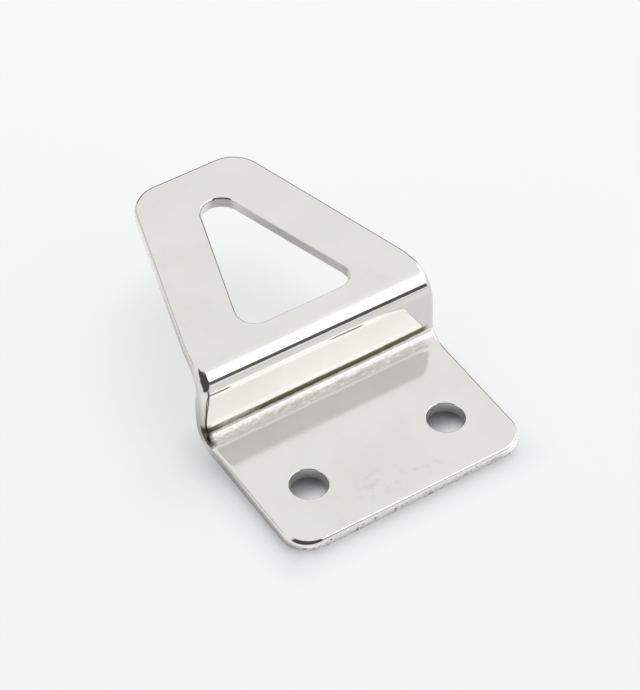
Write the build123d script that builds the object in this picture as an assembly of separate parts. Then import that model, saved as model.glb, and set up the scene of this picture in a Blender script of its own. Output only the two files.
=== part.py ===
from build123d import *
import math
import os

# Picture hanger: one strip of stainless sheet folded into a Z, drilled base below, windowed tongue above.
# Millimetres, +Z up. X runs across the plate, Y from the base's free edge towards the tongue's tip.
# The sheet is drawn with Y = 0 at the riser's front face, then moved so the origin is the middle of the
# screw row, on the underside of the base that lies on the picture's frame or on the wall.

sheet = 1.5                    # thickness of the sheet
width = 30.0                   # across the base and the riser
base_length = 18.6             # free edge of the base to the riser's front face
tongue_length = 28.7           # riser's front face to the tongue's far edge
offset = 9.4                   # step between the two upper faces
inner_radius = 2.3             # concave side of the bend at the base
outer_radius = 3.7             # convex side of the bend at the tongue
edge_round = 0.38              # the outline's and the window's edges are tumbled to this radius

base_corner = 3.2              # plan radius of the base's two free corners
tip_half_width = 7.2           # half the far edge, measured at the corners' meeting point
tip_corner = 4.7               # plan radius of the tongue's far corners
taper_start = 2.8              # where the tongue starts to narrow, from the riser's front face
taper_blend = 23.5             # plan radius between the parallel sides and the taper

hole_diameter = 4.3            # clearance for a 4 mm countersunk or pan screw
hole_spacing = 17.9            # between the two screw holes
hole_setback = 7.2             # free edge of the base to the holes' centres
hole_round = 0.15              # the holes' edges are only just broken

window_near = 4.0              # riser's front face to the window's straight edge
window_half_width = 7.83       # half of that straight edge, at the corners' meeting point
window_far = 23.3              # riser's front face to the window's round end
window_side_run = 0.317        # how fast each side of the window closes in, per unit of length
window_corner = 2.6            # plan radius of the window's near corners
window_end_share = 0.97        # how much of the far end is round, 1 being all of it

# All positions follow from the sizes above.
half_width = width / 2
tongue_top = offset + sheet
free_edge = -base_length
tip = tongue_length
bottom_bend_outer = inner_radius + sheet
top_bend_inner = outer_radius - sheet

# Side view of the folded sheet: the base's free edge, both bends, then the tongue's tip.
bottom_centre = (-inner_radius, sheet + inner_radius)
top_centre = (outer_radius, tongue_top - outer_radius)
with BuildSketch(Plane.YZ) as side_view:
    with BuildLine():
        Line((free_edge, 0), (bottom_centre[0], 0))
        RadiusArc((bottom_centre[0], 0), (sheet, bottom_centre[1]), -bottom_bend_outer)
        Line((sheet, bottom_centre[1]), (sheet, top_centre[1]))
        RadiusArc((sheet, top_centre[1]), (top_centre[0], tongue_top - sheet), top_bend_inner)
        Line((top_centre[0], tongue_top - sheet), (tip, tongue_top - sheet))
        Line((tip, tongue_top - sheet), (tip, tongue_top))
        Line((tip, tongue_top), (top_centre[0], tongue_top))
        RadiusArc((top_centre[0], tongue_top), (0, top_centre[1]), -outer_radius)
        Line((0, top_centre[1]), (0, bottom_centre[1]))
        RadiusArc((0, bottom_centre[1]), (bottom_centre[0], sheet), inner_radius)
        Line((bottom_centre[0], sheet), (free_edge, sheet))
        Line((free_edge, sheet), (free_edge, 0))
    make_face()
folded = extrude(side_view.sketch, amount=half_width, both=True)

# Plan of the sheet: parallel sides over the base, then the taper of the tongue.
corners = [
    (-half_width, free_edge),
    (half_width, free_edge),
    (half_width, taper_start),
    (tip_half_width, tip),
    (-tip_half_width, tip),
    (-half_width, taper_start),
]
with BuildSketch() as plan:
    Polygon(*corners, align=None)
    found = plan.vertices()
    fillet([v for v in found if v.Y < free_edge + 0.01], radius=base_corner)
    found = plan.vertices()
    fillet([v for v in found if v.Y > tip - 0.01], radius=tip_corner)
    found = plan.vertices()
    fillet([v for v in found if abs(v.Y - taper_start) < 0.01], radius=taper_blend)
blank = extrude(plan.sketch, amount=tongue_top)
plate = folded & blank

# The tongue's window: a straight near edge, two closing sides and a round far end.
far_half_width = window_half_width - window_side_run * (window_far - window_near)
half_corner_angle = (math.pi / 2 + math.atan(window_side_run)) / 2
window_end_radius = window_end_share * far_half_width * math.tan(half_corner_angle)
with BuildSketch() as window:
    Polygon(
        (-window_half_width, window_near),
        (window_half_width, window_near),
        (far_half_width, window_far),
        (-far_half_width, window_far),
        align=None,
    )
    found = window.vertices()
    fillet([v for v in found if v.Y < window_near + 0.01], radius=window_corner)
    found = window.vertices()
    fillet([v for v in found if v.Y > window_far - 0.01], radius=window_end_radius)
plate -= extrude(window.sketch, amount=tongue_top)


def cut_edges(shape):
    """The sharp edges, where a cut wall meets the sheet's upper or lower face."""
    sharp = []
    faces = shape.faces()
    for edge in shape.edges():
        middle = edge.position_at(0.5)
        sides = [face for face in faces if any(edge.is_same(other) for other in face.edges())]
        if len(sides) == 2 and sides[0].normal_at(middle).get_angle(sides[1].normal_at(middle)) > 45:
            sharp.append(edge)
    return sharp


plate = fillet(cut_edges(plate), radius=edge_round)

# The two screw holes in the base.
hole_row = free_edge + hole_setback
for side in (-1, 1):
    plate -= Pos(side * hole_spacing / 2, hole_row, sheet / 2) * Cylinder(hole_diameter / 2, 2 * sheet)
plate = fillet(cut_edges(plate), radius=hole_round)

plate = Pos(0, -hole_row, 0) * plate

os.makedirs("parts", exist_ok=True)
export_step(plate, "parts/hanger_plate.step")
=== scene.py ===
import math
from collections import Counter

import bpy
from mathutils import Matrix, Vector


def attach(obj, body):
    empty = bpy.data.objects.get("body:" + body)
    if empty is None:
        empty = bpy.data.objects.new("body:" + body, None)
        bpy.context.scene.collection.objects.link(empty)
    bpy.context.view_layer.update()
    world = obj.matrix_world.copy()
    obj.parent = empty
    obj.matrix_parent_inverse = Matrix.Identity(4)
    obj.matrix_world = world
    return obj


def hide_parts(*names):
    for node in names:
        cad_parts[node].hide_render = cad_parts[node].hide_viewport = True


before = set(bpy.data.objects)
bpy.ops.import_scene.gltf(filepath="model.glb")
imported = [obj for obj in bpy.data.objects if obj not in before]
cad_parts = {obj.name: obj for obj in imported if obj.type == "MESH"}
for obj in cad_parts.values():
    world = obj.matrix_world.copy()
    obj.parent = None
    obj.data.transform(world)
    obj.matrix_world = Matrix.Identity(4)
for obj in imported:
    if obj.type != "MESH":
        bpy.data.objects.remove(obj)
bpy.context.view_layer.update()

MM = 0.001
# Points closer than this count as one.
TOUCH = 0.001 * MM

# All lengths are in millimetres until they meet MM.
# Side view of the folded sheet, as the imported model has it, with the riser leaning back a little.
SHEET = 1.5
WIDTH = 30.0
RISER_Y = 11.4
FREE_EDGE_Y = RISER_Y - 18.6
TIP_Y = RISER_Y + 28.7
TIP_STRETCH = 0.25
STEP = 9.4
LEAN = math.radians(3.0)
TURN = math.pi / 2 - LEAN
BROW_RADIUS = 3.7
ROOT_RADIUS = 1.62
# The root was struck a second time: the base rises very slightly towards it, then a narrow coined strip
# slopes up to the tight bend. Each stretch is its length, its turn and how many folds share the turn.
RISE_TURN = math.radians(1.2)
CREASE_TURN = math.radians(10.0)
STRIP_TURN = math.radians(3.0)
BEND_TURN = TURN - RISE_TURN - CREASE_TURN - STRIP_TURN
ROOT_STRETCHES = (
    (3.4, RISE_TURN, 5),
    (0.5, CREASE_TURN, 5),
    (0.4, STRIP_TURN, 2),
    (ROOT_RADIUS * BEND_TURN, BEND_TURN, 20),
)
BROW_STRETCHES = ((BROW_RADIUS * TURN, -TURN, 24),)
# A line just past the brow keeps the bend's shading off the flat tongue.
BROW_END = 0.15
RISER_PARTS = 6

# Plan of the sheet.
BASE_CORNER = 3.2
TIP_HALF = 7.2
TIP_CORNER_LEFT = 4.0
TIP_CORNER_RIGHT = 3.9
TAPER_FROM = 2.8
TAPER_BLEND = 23.5
WINDOW_NEAR = 4.0
WINDOW_FAR = 23.3
WINDOW_HALF = 7.83
WINDOW_CORNER = 2.35
WINDOW_LEAN = math.atan(0.317)
WINDOW_END_SHARE = 0.97
WINDOW_ASIDE = 0.22
HOLE_RADIUS = 2.14
HOLE_X = 8.95
HOLE_Y = 0.06
HOLE_SIDES = 64
RIM_RING = 1.2

# How far the ends of the root swell out, on the left and on the right.
SWELLING = ((-1, 0.30), (1, 0.16))
SWELLING_REACH = 4.2

# The three kinds of face, which are also the numbers of their material slots.
SKIN, WALL, RIM = 0, 1, 2

# How far each rim is rounded.
RIM_WIDEST = 1.4
RIM_OUTLINE = 0.38
RIM_FRONT = 0.13
RIM_FAR = 0.48
RIM_CORNER_LEFT = 1.35
RIM_CORNER_RIGHT = 0.3
RIM_TIP_CORNER = 0.65
RIM_BROW_LEFT = 1.25
RIM_BROW_RIGHT = 0.85
RIM_RISER_END = 0.6
RIM_WINDOW = 0.38
RIM_WINDOW_NEAR = 0.12
RIM_HOLE = 0.14
RIM_BELOW = 0.12


# Shader maths

class Wire:
    """A node's output, on which Python's operators add Math nodes."""

    def __init__(self, tree, socket):
        self.tree = tree
        self.socket = socket

    def maths(self, operation, *values):
        return add(self.tree, "ShaderNodeMath", dict(enumerate(values)), operation=operation)

    def __add__(self, other):
        return self.maths("ADD", self, other)

    def __radd__(self, other):
        return self.maths("ADD", other, self)

    def __sub__(self, other):
        return self.maths("SUBTRACT", self, other)

    def __rsub__(self, other):
        return self.maths("SUBTRACT", other, self)

    def __mul__(self, other):
        return self.maths("MULTIPLY", self, other)

    def __rmul__(self, other):
        return self.maths("MULTIPLY", other, self)

    def __truediv__(self, other):
        return self.maths("DIVIDE", self, other)

    def __rtruediv__(self, other):
        return self.maths("DIVIDE", other, self)

    def __pow__(self, other):
        return self.maths("POWER", self, other)

    def __rpow__(self, other):
        return self.maths("POWER", other, self)

    def size(self):
        return self.maths("ABSOLUTE", self)

    def most(self, other):
        return self.maths("MAXIMUM", self, other)

    def between(self, low, high, out_low=0.0, out_high=1.0):
        """Rises smoothly from one value to the other as this one goes from low to high."""
        inputs = {0: self, 1: low, 2: high, 3: out_low, 4: out_high}
        return add(self.tree, "ShaderNodeMapRange", inputs, interpolation_type="SMOOTHSTEP")


def add(tree, kind, inputs=None, output=0, **settings):
    """Adds a node: its settings first, then the values or links of its sockets."""
    node = tree.nodes.new(kind)
    for name, value in settings.items():
        setattr(node, name, value)
    for name, value in (inputs or {}).items():
        if isinstance(value, Wire):
            tree.links.new(value.socket, node.inputs[name])
        else:
            node.inputs[name].default_value = value
    return Wire(tree, node.outputs[output]) if len(node.outputs) else None


def new_tree(owner):
    owner.use_nodes = True
    owner.node_tree.nodes.clear()
    return owner.node_tree


# Camera

def set_camera():
    """The camera that was fitted to the photo's edges."""
    azimuth = math.radians(-33.925)
    elevation = math.radians(46.636)
    roll = math.radians(1.085)
    target = Vector((4.059, RISER_Y + 6.347, 0.0)) * MM
    distance = 332.909 * MM
    focal_pixels = 2953.0
    image_pixels = 690.0
    back = Vector((
        math.sin(azimuth) * math.cos(elevation),
        -math.cos(azimuth) * math.cos(elevation),
        math.sin(elevation),
    ))
    level_right = Vector((math.cos(azimuth), math.sin(azimuth), 0.0))
    level_up = back.cross(level_right)
    right = math.cos(roll) * level_right + math.sin(roll) * level_up
    up = math.cos(roll) * level_up - math.sin(roll) * level_right
    data = bpy.data.cameras.new("camera")
    data.sensor_width = 36.0
    data.lens = focal_pixels * data.sensor_width / image_pixels
    data.clip_start = 0.01
    data.clip_end = 50.0
    camera = bpy.data.objects.new("camera", data)
    bpy.context.scene.collection.objects.link(camera)
    turn = Matrix((right, up, back)).transposed().to_4x4()
    camera.matrix_world = Matrix.Translation(target + distance * back) @ turn
    bpy.context.scene.camera = camera


# The sheet, modelled flat and then folded

def choose(piece, verts=None, inner_edges=None, inner_points=False):
    """Selects the vertices that pass a test, or the edges between two faces, or the lone points on those."""
    bpy.ops.object.mode_set(mode="OBJECT")
    mesh = piece.data
    for part in (mesh.vertices, mesh.edges, mesh.polygons):
        part.foreach_set("select", [False] * len(part))
    count = 0
    if verts:
        for v in mesh.vertices:
            v.select = bool(verts(v.co))
            count += v.select
    sides = Counter(key for face in mesh.polygons for key in face.edge_keys)
    if inner_points:
        ends = Counter(i for e in mesh.edges for i in e.vertices)
        outline = {i for e in mesh.edges if sides[e.key] == 1 for i in e.vertices}
        for v in mesh.vertices:
            v.select = ends[v.index] == 2 and v.index not in outline
            count += v.select
    if inner_edges:
        for e in mesh.edges:
            e.select = sides[e.key] == 2 and inner_edges(*(mesh.vertices[i].co for i in e.vertices))
            count += e.select
    # The mode is set first, as a change of mode would spread the selection.
    bpy.context.tool_settings.mesh_select_mode = (not inner_edges, bool(inner_edges), False)
    bpy.ops.object.mode_set(mode="EDIT")
    return count


def corner_run(radius, inside_angle):
    """How far from a corner its fillet begins."""
    return radius / math.tan(inside_angle / 2) * MM


def round_corners(piece, test, radius, inside_angle, segments):
    """Rounds the flat corners that pass a test, to a radius in millimetres."""
    choose(piece, verts=test)
    bpy.ops.mesh.bevel(
        offset_type="OFFSET", offset=corner_run(radius, inside_angle), segments=segments,
        profile=0.5, affect="VERTICES", clamp_overlap=False,
    )


def fold_lines(stretches):
    """The fold lines of one bend, measured from its start, their angles and the bend's whole length."""
    lines, angles, start = [], [], 0.0
    for length, turn, count in stretches:
        for k in range(count):
            lines.append(start + length * (k + 0.5) / count)
            angles.append(turn / count)
        start += length
    return lines, angles, start


def reach(lines, angles, length, slope):
    """How far along and how far up the folded bend goes, when it sets out at a slope."""
    along, up, last = 0.0, 0.0, 0.0
    for line, angle in zip(lines + [length], angles + [0.0]):
        along += (line - last) * math.cos(slope)
        up += (line - last) * math.sin(slope)
        slope += angle
        last = line
    return along, up


def flat_lengths():
    """Where the folds, the riser and the tip lie along the flat sheet, and how much longer that makes it."""
    root_lines, root_angles, root_length = fold_lines(ROOT_STRETCHES)
    brow_lines, brow_angles, brow_length = fold_lines(BROW_STRETCHES)
    root_along, root_up = reach(root_lines, root_angles, root_length, 0.0)
    brow_along, brow_up = reach(brow_lines, brow_angles, brow_length, TURN)
    riser = (STEP - root_up - brow_up) / math.sin(TURN)
    # The riser's middle stays where the upright one has it.
    root = RISER_Y - root_along - riser * math.cos(TURN) / 2
    brow_end = root + root_along + riser * math.cos(TURN) + brow_along
    brow = root + root_length + riser
    tip = brow + brow_length + TIP_Y + TIP_STRETCH - brow_end
    root_fold = ([root + line for line in root_lines], root_angles)
    brow_fold = ([brow + line for line in brow_lines], brow_angles)
    return root_fold, brow_fold, (root + root_length, brow), brow + brow_length - brow_end, tip


def flat_blank(piece, stretch, tip):
    """The outline, the window and the two screw holes, filled as one flat sheet."""
    top = SHEET * MM
    shoulder = (RISER_Y + TAPER_FROM + stretch) * MM
    tip_y = tip * MM
    taper = math.atan2(WIDTH / 2 - TIP_HALF, TIP_Y - RISER_Y - TAPER_FROM)
    # The outline's plane already fills the mesh: its far edge goes out to the shoulder, then on to the tip.
    choose(piece, verts=lambda p: p.y > FREE_EDGE_Y * MM + 0.01)
    bpy.ops.transform.translate(value=(0, shoulder - (FREE_EDGE_Y + WIDTH) * MM, 0))
    bpy.ops.mesh.extrude_edges_move(TRANSFORM_OT_translate={"value": (0, tip_y - shoulder, 0)})
    bpy.ops.transform.resize(value=(TIP_HALF / (WIDTH / 2), 1, 1), center_override=(0, tip_y, top))
    choose(piece, verts=lambda p: True)
    bpy.ops.mesh.dissolve_limited(angle_limit=0.001, use_dissolve_boundaries=False)
    tip_angle = math.pi / 2 + taper
    tip_left = lambda p: p.y > tip_y - TOUCH and p.x < 0
    tip_right = lambda p: p.y > tip_y - TOUCH and p.x > TIP_HALF * MM * 0.9
    round_corners(piece, lambda p: p.y < FREE_EDGE_Y * MM + TOUCH, BASE_CORNER, math.pi / 2, 12)
    round_corners(piece, tip_left, TIP_CORNER_LEFT, tip_angle, 14)
    round_corners(piece, tip_right, TIP_CORNER_RIGHT, tip_angle, 14)
    round_corners(piece, lambda p: abs(p.y - shoulder) < TOUCH, TAPER_BLEND, math.pi - taper, 14)
    bpy.ops.mesh.select_all(action="DESELECT")

    near_y = (RISER_Y + WINDOW_NEAR + stretch) * MM
    far_y = (RISER_Y + WINDOW_FAR + stretch) * MM
    half = (far_y - near_y) / 2
    near_half = WINDOW_HALF * MM
    far_half = near_half - math.tan(WINDOW_LEAN) * (far_y - near_y)
    end_radius = WINDOW_END_SHARE * far_half / MM * math.tan((math.pi / 2 + WINDOW_LEAN) / 2)
    bpy.ops.mesh.primitive_plane_add(size=far_y - near_y, location=(0, (near_y + far_y) / 2, top))
    for y, wide in ((near_y, near_half), (far_y, far_half)):
        choose(piece, verts=lambda p: abs(p.y - y) < TOUCH and abs(abs(p.x) - half) < TOUCH)
        bpy.ops.transform.resize(value=(wide / half, 1, 1), center_override=(0, y, top))
    window_near = lambda p: abs(p.y - near_y) < TOUCH and abs(abs(p.x) - near_half) < TOUCH
    window_far = lambda p: abs(p.y - far_y) < TOUCH and abs(abs(p.x) - far_half) < TOUCH
    round_corners(piece, window_near, WINDOW_CORNER, math.pi / 2 - WINDOW_LEAN, 12)
    round_corners(piece, window_far, end_radius, math.pi / 2 + WINDOW_LEAN, 14)
    # The punch sat a little to the right of the middle.
    choose(piece, verts=lambda p: abs(p.x) < near_half + TOUCH and near_y - TOUCH < p.y < far_y + TOUCH)
    bpy.ops.transform.translate(value=(WINDOW_ASIDE * MM, 0, 0))
    bpy.ops.mesh.select_all(action="DESELECT")
    for side_x in (-1, 1):
        bpy.ops.mesh.primitive_circle_add(
            vertices=HOLE_SIDES, radius=HOLE_RADIUS * MM, fill_type="NOTHING",
            location=(side_x * HOLE_X * MM, HOLE_Y * MM, top),
        )
    bpy.ops.mesh.select_all(action="SELECT")
    bpy.ops.mesh.remove_doubles(threshold=1e-7)
    bpy.ops.mesh.delete(type="ONLY_FACE")
    bpy.ops.mesh.select_all(action="SELECT")
    bpy.ops.mesh.fill(use_beauty=True)
    bpy.ops.mesh.dissolve_limited(angle_limit=0.001, use_dissolve_boundaries=False)
    # One cut across the holes' row and one across the window: all the filler's own edges can then go.
    rows = (HOLE_Y * MM, (near_y + far_y) / 2)
    for row in rows:
        bpy.ops.mesh.select_all(action="SELECT")
        bpy.ops.mesh.bisect(plane_co=(0, row, 0), plane_no=(0, 1, 0), threshold=TOUCH)
    choose(piece, inner_edges=lambda a, b: all(abs(a.y - row) + abs(b.y - row) > TOUCH for row in rows))
    bpy.ops.mesh.dissolve_edges(use_verts=False)
    if choose(piece, inner_points=True):
        bpy.ops.mesh.dissolve_verts()
    # A ring of faces along every edge keeps the rounded rims away from the large flat faces.
    bpy.ops.mesh.select_all(action="SELECT")
    bpy.ops.mesh.inset(use_boundary=True, use_even_offset=True, thickness=RIM_RING * MM)


def fold(piece, lines, angles):
    """Bends the sheet at one line after another, the farthest first, so that the rest is still flat."""
    for line, angle in reversed(list(zip(lines, angles))):
        choose(piece, verts=lambda p: p.y > line * MM + 0.1 * TOUCH)
        bpy.ops.transform.rotate(
            value=angle, orient_axis="X", center_override=(0, line * MM, SHEET * MM),
        )


def make_hanger(face_metal, cut_metal):
    """Folds the flat blank, gives it its thickness and rounds its rims."""
    root_fold, brow_fold, riser, stretch, tip = flat_lengths()
    bpy.ops.object.select_all(action="DESELECT")
    centre_y = (FREE_EDGE_Y + WIDTH / 2) * MM
    bpy.ops.mesh.primitive_plane_add(size=WIDTH * MM, location=(0, centre_y, SHEET * MM))
    piece = bpy.context.object
    piece.name = "folded_plate"
    piece.data.name = "folded_plate"
    bpy.ops.object.transform_apply(location=True, rotation=True, scale=True)
    flat_blank(piece, stretch, tip)

    start, end = riser
    riser_lines = [start + (end - start) * k / RISER_PARTS for k in range(RISER_PARTS + 1)]
    for line in root_fold[0] + riser_lines + brow_fold[0] + [brow_fold[0][-1] + BROW_END]:
        bpy.ops.mesh.select_all(action="SELECT")
        bpy.ops.mesh.bisect(plane_co=(0, line * MM, 0), plane_no=(0, 1, 0))
    # The rotate tool counts angles about X the other way round.
    for lines, angles in (brow_fold, root_fold):
        fold(piece, lines, [-angle for angle in angles])
    # The squeezed metal bulges at both ends of the root.
    for side, bulge in SWELLING:
        choose(piece, verts=lambda p: p.x * side > 14.5 * MM and 3.2 * MM < p.z < 5.8 * MM)
        bpy.ops.transform.translate(
            value=(side * bulge * MM, 0, 0), use_proportional_edit=True,
            proportional_edit_falloff="SMOOTH", proportional_size=SWELLING_REACH * MM,
        )
    bpy.ops.mesh.select_all(action="SELECT")
    bpy.ops.mesh.normals_make_consistent(inside=False)
    bpy.ops.object.mode_set(mode="OBJECT")
    up = sum(f.normal.z * f.area for f in piece.data.polygons)
    if up < 0:
        bpy.ops.object.mode_set(mode="EDIT")
        bpy.ops.mesh.flip_normals()
        bpy.ops.object.mode_set(mode="OBJECT")

    for metal in (face_metal, cut_metal, face_metal):
        piece.data.materials.append(metal)
    solid = piece.modifiers.new("thickness", "SOLIDIFY")
    solid.thickness = SHEET * MM
    solid.offset = -1.0
    solid.use_even_offset = True
    solid.material_offset_rim = 1
    bpy.ops.object.modifier_apply(modifier=solid.name)

    round_rims(piece)
    bpy.ops.object.shade_smooth()
    even_normals(piece)
    return piece


def even_normals(piece):
    """Keeps the sheet's faces and the cut walls true right up to the rounded rims between them."""
    mesh = piece.data
    sums = [{} for _ in mesh.vertices]
    for face in mesh.polygons:
        ring = [mesh.vertices[i].co for i in face.vertices]
        for k, vertex in enumerate(face.vertices):
            before, after = ring[k - 1] - ring[k], ring[(k + 1) % len(ring)] - ring[k]
            if before.length < 1e-9 or after.length < 1e-9:
                continue
            share = face.normal * before.angle(after)
            kinds = sums[vertex]
            kinds[face.material_index] = kinds.get(face.material_index, Vector()) + share
    normals = []
    for kinds in sums:
        best = kinds.get(SKIN) or kinds.get(WALL) or kinds.get(RIM) or Vector((0, 0, 1))
        normals.append(best.normalized())
    mesh.normals_split_custom_set_from_vertices(normals)


def round_rims(piece):
    """Rounds every sharp edge between the sheet's faces and its cut walls, more at the outline's corners."""
    bpy.ops.object.mode_set(mode="OBJECT")
    mesh = piece.data
    mesh.update()
    faces_of = {}
    for face in mesh.polygons:
        for key in face.edge_keys:
            faces_of.setdefault(key, []).append(face)
    weights = mesh.attributes.new("bevel_weight_edge", "FLOAT", "EDGE")
    for edge in mesh.edges:
        pair = faces_of.get(edge.key, [])
        if len(pair) != 2 or pair[0].normal.dot(pair[1].normal) > 0.5:
            continue
        skin, wall = sorted(pair, key=lambda face: face.material_index)
        middle = (mesh.vertices[edge.vertices[0]].co + mesh.vertices[edge.vertices[1]].co) / 2
        weights.data[edge.index].value = rim_width(middle, skin.normal, wall.normal) / RIM_WIDEST
    rims = piece.modifiers.new("rims", "BEVEL")
    rims.limit_method = "WEIGHT"
    rims.width = RIM_WIDEST * MM
    rims.segments = 5
    rims.use_clamp_overlap = False
    rims.material = RIM
    bpy.ops.object.modifier_apply(modifier=rims.name)


def near(value, centre, reach):
    """1 at the centre, falling smoothly to 0 at the reach."""
    t = max(0.0, 1.0 - abs(value - centre) / reach)
    return t * t * (3 - 2 * t)


def rim_width(p, skin, wall):
    """The rounding of one rim edge, in millimetres, from its place and the directions of its two faces."""
    x, y, z = (c / MM for c in p)
    if math.hypot(abs(x) - HOLE_X, y) < 2.4:
        return RIM_HOLE
    outer = skin.z > 0.01 or (abs(skin.z) < 0.2 and skin.y < 0)
    if not outer:
        return RIM_BELOW
    outside = wall.x * x > 0 or y < 0 or y > TIP_Y - 0.5
    if not outside:
        return RIM_WINDOW - (RIM_WINDOW - RIM_WINDOW_NEAR) * near(y, RISER_Y + WINDOW_NEAR, 4.0)
    # The blank rolls over more at its corners, and where the brow's bend draws its ends in.
    into_corner = min(abs(x) - WIDTH / 2 + BASE_CORNER, FREE_EDGE_Y + BASE_CORNER - y)
    beside_riser = abs(y - RISER_Y) < 3.5
    brow_end = RIM_BROW_LEFT if x < 0 else RIM_BROW_RIGHT
    if y < FREE_EDGE_Y + BASE_CORNER:
        corner = RIM_CORNER_LEFT if x < 0 else RIM_CORNER_RIGHT
        return RIM_FRONT + (corner - RIM_FRONT) * near(into_corner, 2.3, 3.4)
    plain = RIM_FAR if x > 0 or y > TIP_Y - 6 else RIM_OUTLINE
    from_tip_corner = math.hypot(abs(x) - 5.0, y - TIP_Y + 4.0)
    return plain + max(
        (RIM_TIP_CORNER - plain) * near(from_tip_corner, 4.5, 1.8) if y > 30 else 0.0,
        (brow_end - plain) * near(z, 9.4, 3.0) if beside_riser else 0.0,
        (RIM_RISER_END - plain) * near(z, 4.5, 4.0) if beside_riser else 0.0,
    )


# Materials

def places(tree):
    """The object coordinates in millimetres."""
    place = add(tree, "ShaderNodeTexCoord", output="Object")
    x, y, z = (add(tree, "ShaderNodeSeparateXYZ", {0: place}, output=k) / MM for k in range(3))
    return place, x, y, z


def noise(tree, place, stretch, scale, detail=2.0, roughness=0.5):
    """Noise of so many waves in a millimetre, stretched by a factor on each axis."""
    inputs = {0: place, 1: [c / MM for c in stretch]}
    stretched = add(tree, "ShaderNodeVectorMath", inputs, operation="MULTIPLY")
    inputs = {"Vector": stretched, "Scale": scale, "Detail": detail, "Roughness": roughness}
    return add(tree, "ShaderNodeTexNoise", inputs)


def blend(tree, factor, first, second):
    """A colour between two others."""
    inputs = {0: factor, 6: first, 7: second}
    return add(tree, "ShaderNodeMix", inputs, output=2, data_type="RGBA")


def spot(x, y, centre_x, centre_y, reach_x, reach_y):
    """1 in the middle of an oval place, falling smoothly to 0 at its edge."""
    across = (x - centre_x) / reach_x
    along = (y - centre_y) / reach_y
    return ((across * across + along * along) ** 0.5).between(1.0, 0.2)


def finish_metal(tree, colour, roughness, height, strength):
    """The metal's shader, with a bump from a height in millimetres."""
    bump = add(tree, "ShaderNodeBump", {"Height": height * MM, "Distance": 1.0, "Strength": strength})
    shader = add(tree, "ShaderNodeBsdfPrincipled", {
        "Base Color": colour,
        "Metallic": 1.0,
        "Roughness": roughness,
        "Normal": bump,
    })
    add(tree, "ShaderNodeOutputMaterial", {"Surface": shader})


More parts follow.
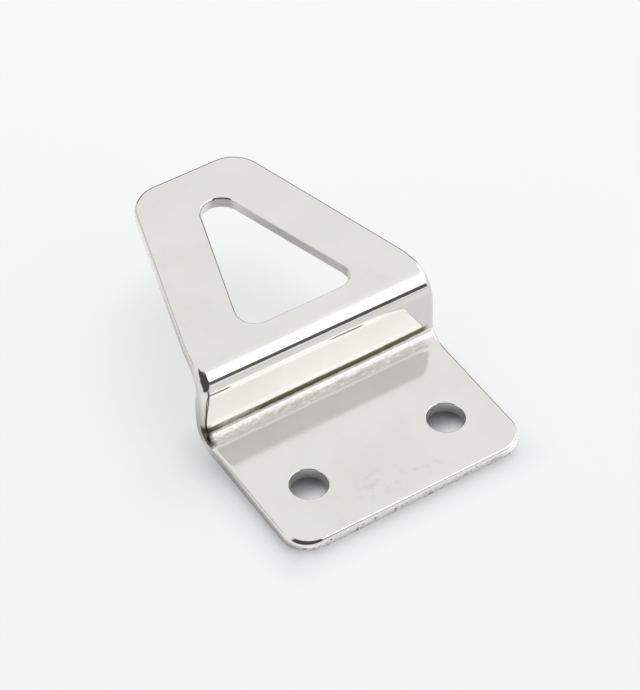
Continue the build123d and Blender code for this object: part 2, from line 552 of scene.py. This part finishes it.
def polished_metal():
    """Mirror-polished steel with faint polishing marks, light scuffs and the coined strip at the root,
    with painted shade at the root, a painted highlight on the coined strip and a painted dark reflection at
    the riser's left end.
    """
    material = bpy.data.materials.new("polished_steel")
    tree = new_tree(material)
    place, x, y, z = places(tree)
    cloud = noise(tree, place, (1, 1, 1), 0.16, 2.0)
    mottle = noise(tree, place, (1, 1, 1), 0.9, 4.0, 0.6)
    grain = noise(tree, place, (0.45, 1.1, 1.1), 2.6, 4.0, 0.75)
    wave = noise(tree, place, (1, 1, 0.5), 0.9, 2.0)
    lines = noise(tree, place, (0.12, 3.2, 3.2), 1.6, 3.0, 0.6)

    above = z.between(1.40, 1.48) * y.between(12.2, 11.9)
    strip = above * y.between(9.2, 9.75) * z.between(2.25, 1.95)
    pits = strip * grain.between(0.57, 0.66)
    blur = above * y.between(10.0, 10.3) * z.between(1.9, 2.2) * z.between(3.4, 3.0)
    # Painted shade: a dark line along the root's crease stands in for the shade that falls in it.
    crease_shade_z = 2.88 + 0.02 * (x - 6.0).most(0.0) + 0.12 * (mottle - 0.5) + 0.30 * (grain - 0.5)
    painted_crease_shade = above * x.between(14.5, 13.4) * y.between(10.0, 10.4) * (z - crease_shade_z).size().between(0.50, 0.16)
    # On the left the painted crease shade is fainter, with light metal showing in it.
    faint = x.between(-7, -11) * x.between(-14.2, -12.5) * grain.between(0.35, 0.6, 0.15, 0.6)
    painted_crease_shade = painted_crease_shade * (1 - faint)
    # Painted shade: a dark smudge at the left end of the root stands in for the shade there.
    end_x = x + 1.2 * (mottle - 0.5)
    end_painted_shade = above * end_x.between(-14.0, -14.6) * y.between(9.7, 10.3) * z.between(3.9, 3.2)
    struck = above * y.between(9.6, 9.9) * z.between(2.65, 2.40)
    struck = struck * x.between(14.2, 12.5) * grain.between(0.30, 0.55)
    coined = strip * grain.between(0.36, 0.60) * x.between(14.6, 12.5)
    on_riser = y.between(10.9, 11.1) * y.between(12.0, 11.8) * z.between(2.6, 3.0)
    # A thin painted dark line, standing in for a dark reflection, follows the bulging left end of the riser.
    from_line = x + 14.28 + 0.62 * z.between(8.8, 3.6)
    painted_side_outline = on_riser * z.between(8.8, 8.3) * from_line.size().between(0.17, 0.06)
    dull = above * z.between(1.8, 1.6) * y.between(3.0, 7.0) * (1 - strip)
    scuffs = (
        spot(x, y, -2.2, -4.0, 5.0, 3.0).most(spot(x, y, 2.6, -4.4, 3.4, 2.2))
        * mottle.between(0.50, 0.66) * z.between(1.4, 1.48) * z.between(1.8, 1.6)
    )

    colour = blend(tree, cloud.between(0.35, 0.65), (0.628, 0.622, 0.596, 1.0), (0.652, 0.646, 0.622, 1.0))
    colour = blend(tree, mottle.between(0.35, 0.65) * 0.5, colour, (0.642, 0.640, 0.618, 1.0))
    colour = blend(tree, scuffs * 0.55, colour, (0.51, 0.51, 0.505, 1.0))
    worn = spot(x, y, -1.0, -2.5, 8.0, 5.0) * z.between(1.4, 1.48) * z.between(1.8, 1.6)
    colour = blend(tree, worn * 0.35, colour, (0.585, 0.578, 0.555, 1.0))
    colour = blend(tree, coined, colour, (0.665, 0.658, 0.625, 1.0))
    colour = blend(tree, struck * 0.8, colour, (0.42, 0.413, 0.375, 1.0))
    colour = blend(tree, pits * 0.38, colour, (0.28, 0.27, 0.23, 1.0))
    # Painted light and shade: a painted highlight band below the crease, the painted crease shade, the
    # painted shade at the root's left end and the painted dark reflection line.
    painted_highlight_band = above * y.between(9.9, 10.2) * z.between(2.15, 2.30) * z.between(2.75, 2.55)
    colour = blend(tree, painted_highlight_band * 0.8, colour, (0.95, 0.94, 0.90, 1.0))
    colour = blend(tree, painted_crease_shade, colour, (0.105, 0.098, 0.06, 1.0))
    colour = blend(tree, end_painted_shade * 0.9, colour, (0.05, 0.048, 0.035, 1.0))
    colour = blend(tree, painted_side_outline * 0.85, colour, (0.03, 0.03, 0.03, 1.0))
    roughness = 0.045 + 0.03 * cloud + 0.06 * scuffs + 0.10 * strip + 0.22 * blur + 0.04 * dull

    height = 0.00035 * lines + 0.0006 * mottle + on_riser * (0.006 * wave + 0.0012 * grain)
    height = height + strip * 0.012 * grain + scuffs * 0.004 * grain
    finish_metal(tree, colour, roughness, height, 1.0)
    return material


def sheared_metal():
    """Cut walls: drawn marks across the thickness, torn patches and a few dark pits under the polish."""
    material = bpy.data.materials.new("sheared_steel")
    tree = new_tree(material)
    place, _, y, _ = places(tree)
    streaks = noise(tree, place, (1, 1, 0.15), 5.0, 3.0, 0.6)
    patches = noise(tree, place, (1, 1, 1.4), 1.1, 3.0, 0.6)
    front = y.between(FREE_EDGE_Y + 4.0, FREE_EDGE_Y + 1.5)
    pits = noise(tree, place, (1, 1, 1.3), 1.8, 2.0).between(0.585, 0.64) * front.between(0, 1, 0.1, 1.0)
    colour = blend(tree, streaks.between(0.3, 0.7), (0.63, 0.625, 0.615, 1.0), (0.68, 0.675, 0.66, 1.0))
    colour = blend(tree, patches.between(0.48, 0.66) * (0.12 + 0.4 * front), colour, (0.48, 0.475, 0.46, 1.0))
    colour = blend(tree, pits * 0.85, colour, (0.20, 0.195, 0.185, 1.0))
    roughness = 0.16 + 0.06 * patches + 0.06 * front + 0.15 * pits
    height = 0.0002 * streaks + (0.0004 + 0.003 * front) * patches - 0.006 * pits
    finish_metal(tree, colour, roughness, height, 0.8)
    return material


# Stage

def make_floor():
    """The pale table, with painted shadow close round the base and under the two screw holes, and painted
    light and shade in what the metal reflects of it.
    """
    material = bpy.data.materials.new("pale_floor")
    tree = new_tree(material)
    seen = add(tree, "ShaderNodeLightPath", output="Is Camera Ray")
    _, x, y, _ = places(tree)
    beside_x = (x.size() - WIDTH / 2).most(0.0)
    middle_y = (FREE_EDGE_Y + RISER_Y) / 2
    beside_y = ((y - middle_y).size() - (RISER_Y - FREE_EDGE_Y) / 2).most(0.0)
    beside = (beside_x * beside_x + beside_y * beside_y) ** 0.5
    # Painted shadow: the floor that the camera sees is darker close round the base, less so on the right.
    painted_shadow = beside.between(4.5, 0.0) * x.between(17, 13, 0.35, 1.0)
    seen_colour = blend(tree, painted_shadow, (0.426, 0.430, 0.444, 1.0), (0.35, 0.356, 0.372, 1.0))
    # What the metal reflects: painted light close round the base, which cancels its shadow there, and painted
    # shade beside the base's right side.
    mirrored = blend(tree, beside.between(2.0, 0.4), (0.50, 0.50, 0.505, 1.0), (0.88, 0.885, 0.90, 1.0))
    mirrored = blend(tree, x.between(13.5, 15.5) * y.between(-5, -3), mirrored, (0.46, 0.46, 0.475, 1.0))
    # Beside the base's left side the floor that the metal reflects is set to one level: darker close to the
    # base as painted shade, a little lighter farther out.
    left = x.between(-13.5, -15.5) * y.between(11, 7)
    mirrored = blend(tree, left, mirrored, (0.56, 0.56, 0.575, 1.0))
    colour = blend(tree, seen, mirrored, seen_colour)
    # Painted shade in the holes: beside the far wall of each hole the floor that the camera sees is darkest.
    aside = x.size() - HOLE_X
    in_hole = ((aside * aside + y * y) ** 0.5).between(2.6, 2.3)
    painted_hole_shade = blend(tree, y.between(1.2, -1.9), (0.15, 0.15, 0.16, 1.0), (0.47, 0.47, 0.48, 1.0))
    painted_hole_shade = blend(tree, seen, (0.40, 0.40, 0.41, 1.0), painted_hole_shade)
    colour = blend(tree, in_hole, colour, painted_hole_shade)
    cloth = add(tree, "ShaderNodeBsdfDiffuse", {"Color": colour})
    white = add(tree, "ShaderNodeEmission", {"Color": (0.915, 0.927, 0.922, 1.0), "Strength": 1.0})
    # The camera's share of white drops in the painted shadow round the base and beside its left side, and
    # rises under the tongue as painted light.
    lift = 0.60 - 0.10 * painted_shadow - 0.16 * left * beside.between(5.0, 0.3) + 0.10 * y.between(9, 16)
    lift = seen * (1 - in_hole) * lift
    mixed = add(tree, "ShaderNodeMixShader", {0: lift, 1: cloth, 2: white})
    add(tree, "ShaderNodeOutputMaterial", {"Surface": mixed})
    bpy.ops.object.select_all(action="DESELECT")
    bpy.ops.mesh.primitive_plane_add(size=6.0, location=(0, 0, 0))
    floor = bpy.context.object
    floor.name = "floor"
    floor.data.materials.append(material)


def make_key_light():
    """A soft key from behind on the right, so that the shadows fall to the front left."""
    data = bpy.data.lights.new("key", "AREA")
    data.shape = "DISK"
    data.size = 0.75
    data.energy = 11.9
    data.color = (1.0, 0.985, 0.955)
    light = bpy.data.objects.new("key", data)
    bpy.context.scene.collection.objects.link(light)
    direction = Vector((0.45, 0.55, 0.7)).normalized()
    light.location = direction * 0.8
    light.rotation_euler = direction.to_track_quat("Z", "Y").to_euler()
    light.visible_glossy = False
    light.visible_camera = False


def make_world():
    """A white studio: a bright window on the right, a dark card, a dark front corner and a dark far wall."""
    world = bpy.data.worlds.new("studio")
    bpy.context.scene.world = world
    tree = new_tree(world)
    coordinates = add(tree, "ShaderNodeTexCoord", output="Generated")
    x, y, z = (add(tree, "ShaderNodeSeparateXYZ", {0: coordinates}, output=k) for k in range(3))
    height = z.maths("ARCSINE", z) * (180 / math.pi)
    # Degrees round from the front, positive to the right.
    round_from_front = x.maths("ARCTAN2", x, 0 - y) * (180 / math.pi)
    sky = 1.165
    window = (
        (0.15 * height.between(62, 46) + 1.02 * height.between(50, 36.5)) * height.between(10, 20)
        * round_from_front.between(9, 18) * round_from_front.between(110, 80)
    )
    # The card's edges slope down to the right.
    low = height + 0.8 * (round_from_front - 25)
    card = (
        low.between(3.0, 4.6) * low.between(16.4, 14.4)
        * round_from_front.between(2, 12) * round_from_front.between(41, 33)
    )
    dark_corner = (
        height.between(1, 4) * height.between(60, 48)
        * round_from_front.between(-86, -72) * round_from_front.between(18, 10)
    )
    behind = round_from_front.size()
    far_wall = height.between(0, 2) * height.between(26, 22) * behind.between(108, 120)
    # On the left it is lighter.
    far_wall = far_wall * round_from_front.between(-90, 90, 0.35, 1.0)
    level = (sky + window) * (1 - 0.90 * card) * (1 - 0.92 * dark_corner) * (1 - 0.95 * far_wall)
    seen = add(tree, "ShaderNodeLightPath", output="Is Camera Ray")
    level = seen * 0.93 + (1 - seen) * level
    background = add(tree, "ShaderNodeBackground", {"Color": (1.0, 1.0, 1.0, 1.0), "Strength": level})
    add(tree, "ShaderNodeOutputWorld", {"Surface": background})


set_camera()
hanger = make_hanger(polished_metal(), sheared_metal())
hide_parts("hanger_plate")
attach(hanger, "root")
make_floor()
make_key_light()
make_world()
bpy.context.scene.view_settings.view_transform = "Standard"
